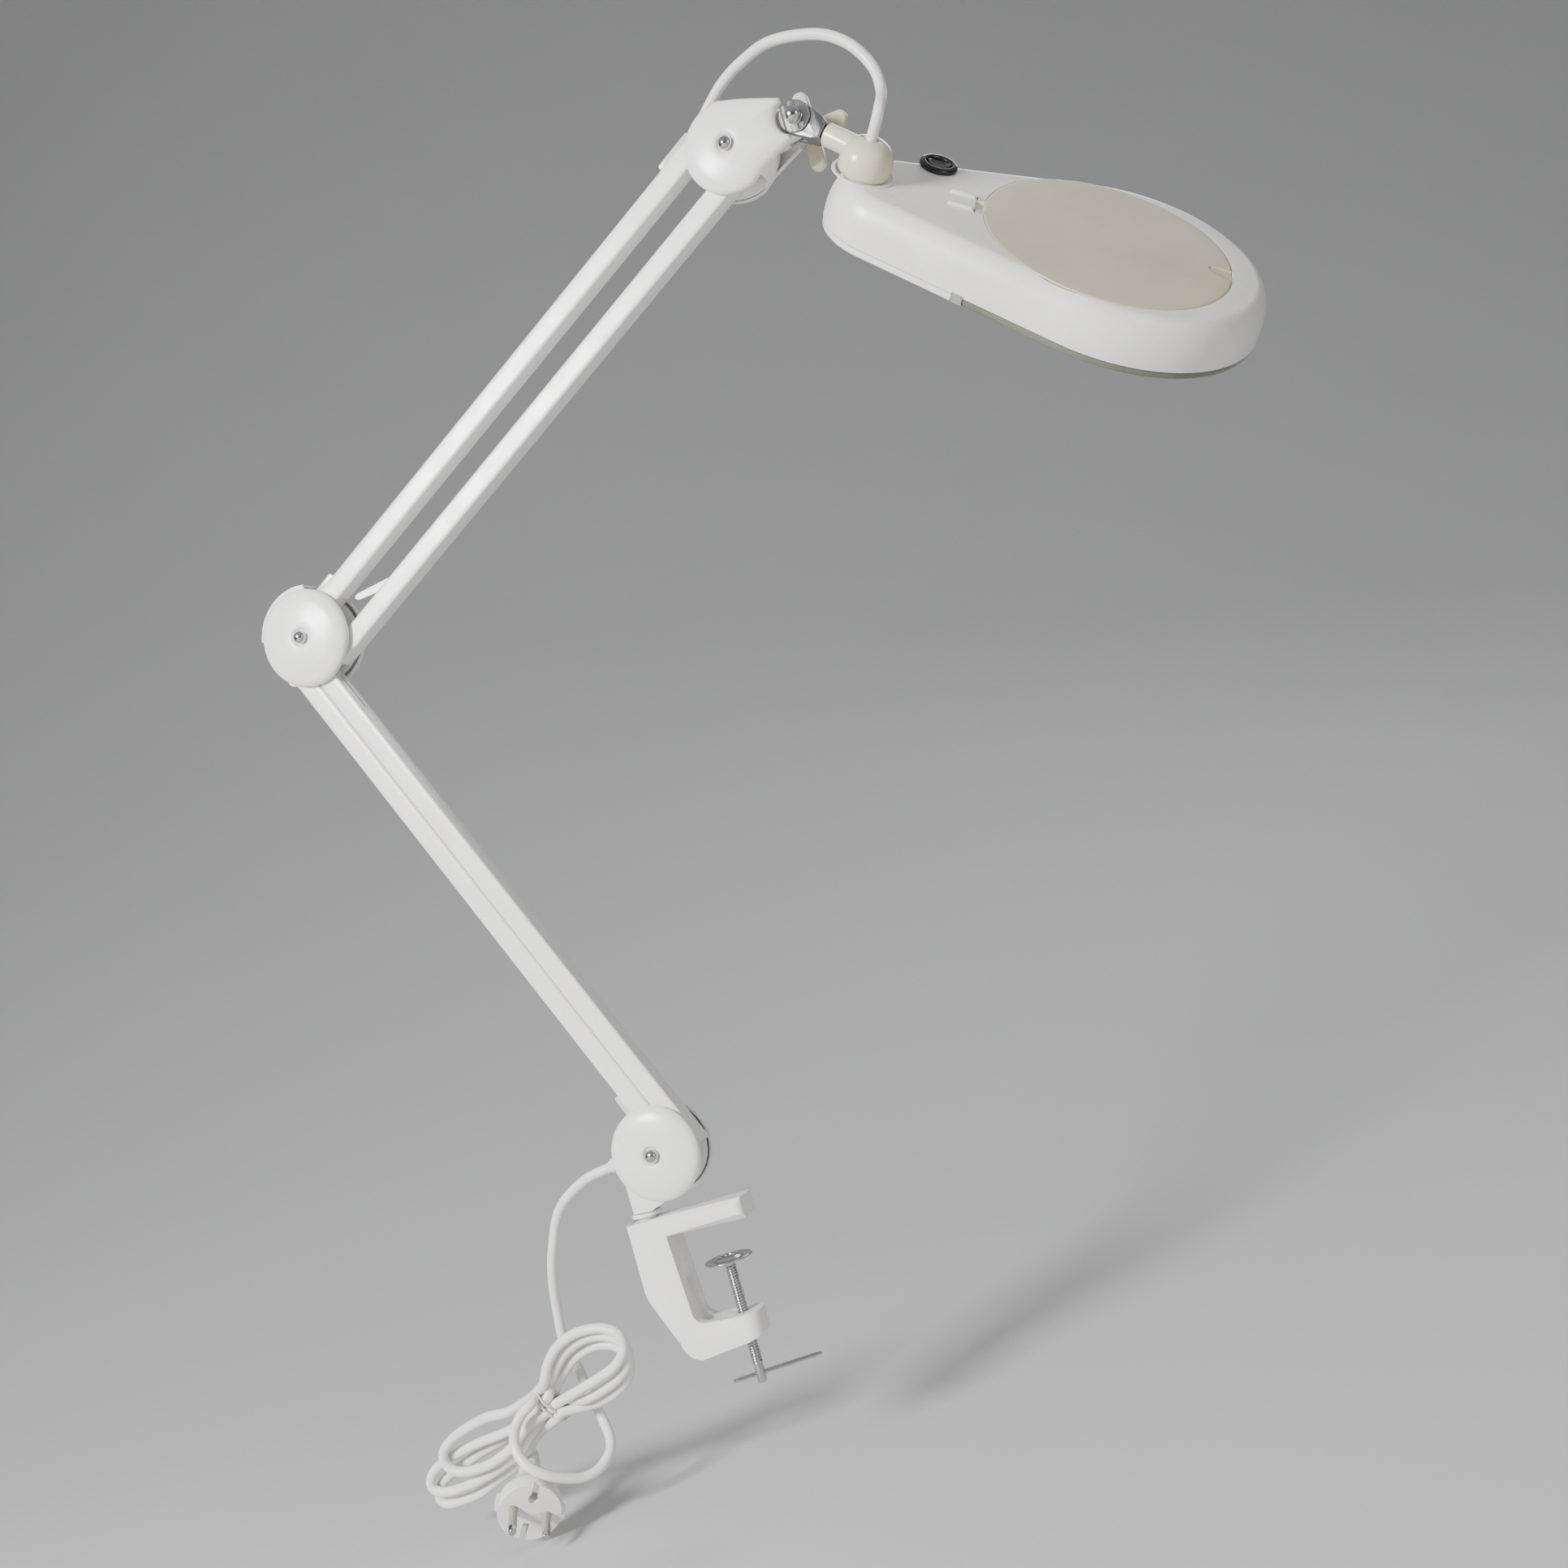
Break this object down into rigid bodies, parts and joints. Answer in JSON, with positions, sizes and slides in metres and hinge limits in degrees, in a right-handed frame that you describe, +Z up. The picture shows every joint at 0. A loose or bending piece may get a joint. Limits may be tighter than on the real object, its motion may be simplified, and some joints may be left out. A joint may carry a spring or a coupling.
{
  "type": "swing arm desk lamp",
  "caption": "Clamp-on swing arm magnifier lamp: two levelled arms of paired square tubes, dished pivot caps, a tilting egg-shaped head with a lidded round lens, and a tied mains lead.",
  "frame": {"origin": "on the underside of the clamp's top jaw, in the middle of its width and 3 mm inboard of the screw axis", "axes": "+Z up along the swivel post, the arms' pivots parallel to Y, the desk edge enters the clamp from +X"},
  "size_m": [0.6522, 0.1892, 0.7564],
  "materials": {
    "white_paint": "glossy white powder coat",
    "zinc_steel": "bright zinc plated steel",
    "spring_steel": "plain spring wire",
    "chrome": "polished plating",
    "cream_plastic": "cream satin",
    "beige_cover": "beige satin",
    "white_plastic": "warm white semi-gloss, worn",
    "black_plastic": "black",
    "white_cable": "white flexible sheath",
    "lens_glass": "clear",
    "smoke_diffuser": "clear olive grey",
    "circuit_board": "white solder mask"
  },
  "bodies": {
    "clamp": {"clamp_frame": "white_paint", "post_bush": "white_paint"},
    "pad": {"clamp_pad": "chrome"},
    "screw": {"clamp_screw": "chrome"},
    "tommy": {"tommy_bar": "chrome"},
    "swivel_base": {"swivel_post": "zinc_steel", "base_bracket": "white_paint", "base_cap_front": "white_paint", "base_cap_rear": "white_paint", "base_bolt": "chrome", "base_nut": "chrome", "base_pin_main": "zinc_steel", "base_pin_link": "zinc_steel", "lead_gland": "white_cable", "mains_lead": "white_cable", "lead_hank": "white_cable", "mains_plug": "white_cable"},
    "lower_arm": {"lower_tube_main": "white_paint", "lower_guide": "cream_plastic"},
    "lower_link": {"lower_tube_link": "white_paint", "lower_spring": "spring_steel"},
    "elbow": {"elbow_bracket": "white_paint", "elbow_cap_front": "white_paint", "elbow_cap_rear": "white_paint", "elbow_bolt": "chrome", "elbow_nut": "chrome", "elbow_pin_lower_main": "zinc_steel", "elbow_pin_lower_link": "zinc_steel", "elbow_pin_upper_main": "zinc_steel", "elbow_pin_upper_link": "zinc_steel"},
    "upper_arm": {"upper_tube_main": "white_paint", "upper_guide_elbow": "cream_plastic", "upper_guide_head": "cream_plastic"},
    "upper_link": {"upper_tube_link": "white_paint", "upper_spring": "spring_steel"},
    "head_mount": {"head_bracket": "white_paint", "head_cap_front": "white_paint", "head_cap_rear": "white_paint", "head_bolt": "chrome", "head_nut": "chrome", "head_pin_main": "zinc_steel", "head_pin_link": "zinc_steel", "head_cord_arm": "white_cable"},
    "knuckle": {"knuckle_fork": "chrome", "knuckle_bolt": "zinc_steel", "knuckle_nut": "chrome"},
    "wing": {"wing_nut": "cream_plastic"},
    "stem": {"stem_housing": "cream_plastic", "head_swivel_tube": "zinc_steel", "head_cord_dome": "white_cable"},
    "head": {"head_shell": "white_plastic", "head_base": "white_plastic", "diffuser_ring": "smoke_diffuser", "light_board": "circuit_board", "lens": "lens_glass", "lens_holder": "white_plastic", "driver_box": "black_plastic", "switch_body": "black_plastic"},
    "cover": {"lens_cover": "beige_cover"},
    "rocker": {"switch_rocker": "black_plastic"}
  },
  "joints": [
    {"name": "clamp_slide", "type": "slide", "parent": "clamp", "child": "pad", "axis": [0, 0, 1], "range_m": [-0.028, 0.0125]},
    {"name": "screw_turn", "type": "hinge", "parent": "pad", "child": "screw", "pos_m": [0.003, 0, -0.05], "axis": [0, 0, 1], "range_deg": [-180, 180]},
    {"name": "tommy_slide", "type": "slide", "parent": "screw", "child": "tommy", "axis": [0.891, 0.454, 0], "range_m": [-0.0295, 0.0098]},
    {"name": "swivel", "type": "hinge", "parent": "clamp", "child": "swivel_base", "pos_m": [-0.038, 0, 0], "axis": [0, 0, 1], "range_deg": [-100, 100]},
    {"name": "shoulder", "type": "hinge", "parent": "swivel_base", "child": "lower_arm", "pos_m": [-0.01625, 0, 0.05874], "axis": [0, 1, 0], "range_deg": [0, 104]},
    {"name": "lower_link_pivot", "type": "hinge", "parent": "swivel_base", "child": "lower_link", "pos_m": [0.00166, 0, 0.04944], "axis": [0, 1, 0], "range_deg": [0, 104]},
    {"name": "elbow_level", "type": "hinge", "parent": "lower_arm", "child": "elbow", "pos_m": [-0.1667, 0, 0.38138], "axis": [0, 1, 0], "range_deg": [-104, 0]},
    {"name": "elbow_bend", "type": "hinge", "parent": "elbow", "child": "upper_arm", "pos_m": [-0.14365, 0, 0.4013], "axis": [0, 1, 0], "range_deg": [-24, 40]},
    {"name": "upper_link_pivot", "type": "hinge", "parent": "elbow", "child": "upper_link", "pos_m": [-0.13003, 0, 0.37626], "axis": [0, 1, 0], "range_deg": [-24, 40]},
    {"name": "head_level", "type": "hinge", "parent": "upper_arm", "child": "head_mount", "pos_m": [0.16906, 0, 0.57144], "axis": [0, 1, 0], "range_deg": [-40, 24]},
    {"name": "head_tilt", "type": "hinge", "parent": "head_mount", "child": "knuckle", "pos_m": [0.22353, 0, 0.56019], "axis": [0, 1, 0], "range_deg": [-60, 38], "deforming": ["head_cord_arm", "head_cord_dome"]},
    {"name": "wing_turn", "type": "hinge", "parent": "knuckle", "child": "wing", "pos_m": [0.22353, 0, 0.56019], "axis": [0, 1, 0], "range_deg": [-180, 180]},
    {"name": "head_roll", "type": "hinge", "parent": "knuckle", "child": "stem", "pos_m": [0.22353, 0, 0.56019], "axis": [0.6947, 0, -0.7193], "range_deg": [-100, 40], "deforming": ["head_cord_arm", "head_cord_dome"]},
    {"name": "head_swivel", "type": "hinge", "parent": "stem", "child": "head", "pos_m": [0.2543, 0, 0.52832], "axis": [0.5964, -0.5592, 0.5759], "range_deg": [-72, 48]},
    {"name": "cover_hinge", "type": "hinge", "parent": "head", "child": "cover", "pos_m": [0.29877, 0.02641, 0.48812], "axis": [-0.1127, -0.7687, -0.6296], "range_deg": [0, 105]},
    {"name": "rocker_pivot", "type": "hinge", "parent": "head", "child": "rocker", "pos_m": [0.28138, 0.04393, 0.52384], "axis": [0.1127, 0.7687, 0.6296], "range_deg": [0, 10]}
  ],
  "couplings": [
    {"joint": "lower_link_pivot", "follows": "shoulder", "ratio": 1},
    {"joint": "elbow_level", "follows": "shoulder", "ratio": -1},
    {"joint": "upper_link_pivot", "follows": "elbow_bend", "ratio": 1},
    {"joint": "head_level", "follows": "elbow_bend", "ratio": -1}
  ]
}
